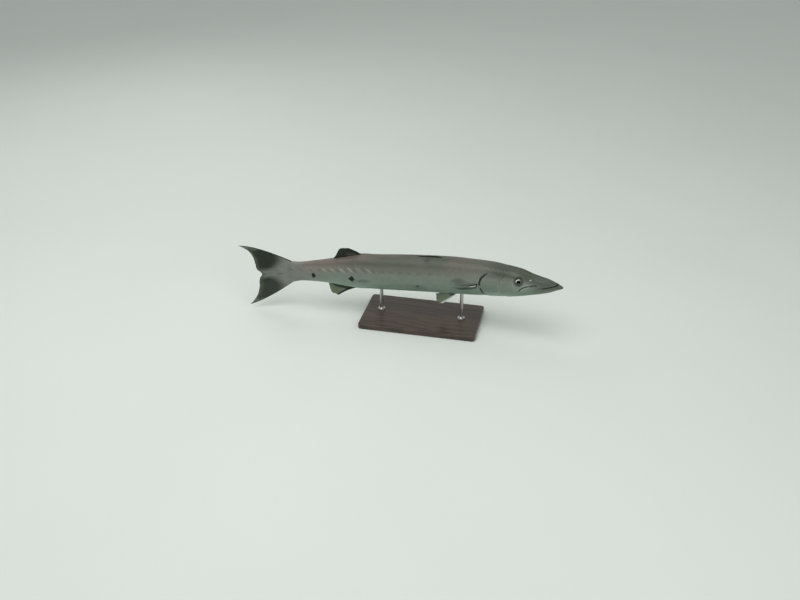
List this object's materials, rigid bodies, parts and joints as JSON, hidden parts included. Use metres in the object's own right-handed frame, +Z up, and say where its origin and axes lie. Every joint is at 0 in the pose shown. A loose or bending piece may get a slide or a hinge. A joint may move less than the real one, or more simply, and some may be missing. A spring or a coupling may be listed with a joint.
{
  "type": "great barracuda display model",
  "caption": "Life-size still model of a great barracuda swimming with a gentle bend, held by two rods on a flat base.",
  "frame": {"origin": "centre of the underside of the stand's base", "axes": "+X towards the head, +Y to the fish's left, +Z up"},
  "size_m": [1.0943, 0.22, 0.2425],
  "materials": {
    "skin": "satin fish skin with fine scales, olive-brown above, silver-grey on the flank, greenish below",
    "eyes": "glossy clear eye with a pale ring and a black pupil",
    "dark_fins": "near-black fin membrane and rays, paler towards the margins",
    "pale_fins": "olive-grey fin membrane and rays",
    "stand_wood": "dark satin-varnished wood",
    "stand_steel": "brushed steel rod with a round foot"
  },
  "bodies": {
    "root": {"head": "skin", "lower_jaw": "skin", "torso_front": "skin", "torso_rear": "skin", "tail_stalk": "skin", "eye_left": "eyes", "eye_right": "eyes", "tail_fin_upper": "dark_fins", "tail_fin_lower": "dark_fins", "dorsal_fin_front": "dark_fins", "dorsal_fin_rear": "dark_fins", "anal_fin": "pale_fins", "pectoral_fin_left": "pale_fins", "pectoral_fin_right": "pale_fins", "pelvic_fin_left": "pale_fins", "pelvic_fin_right": "pale_fins", "stand_base": "stand_wood", "stand_rod_front": "stand_steel", "stand_rod_rear": "stand_steel"}
  },
  "joints": []
}
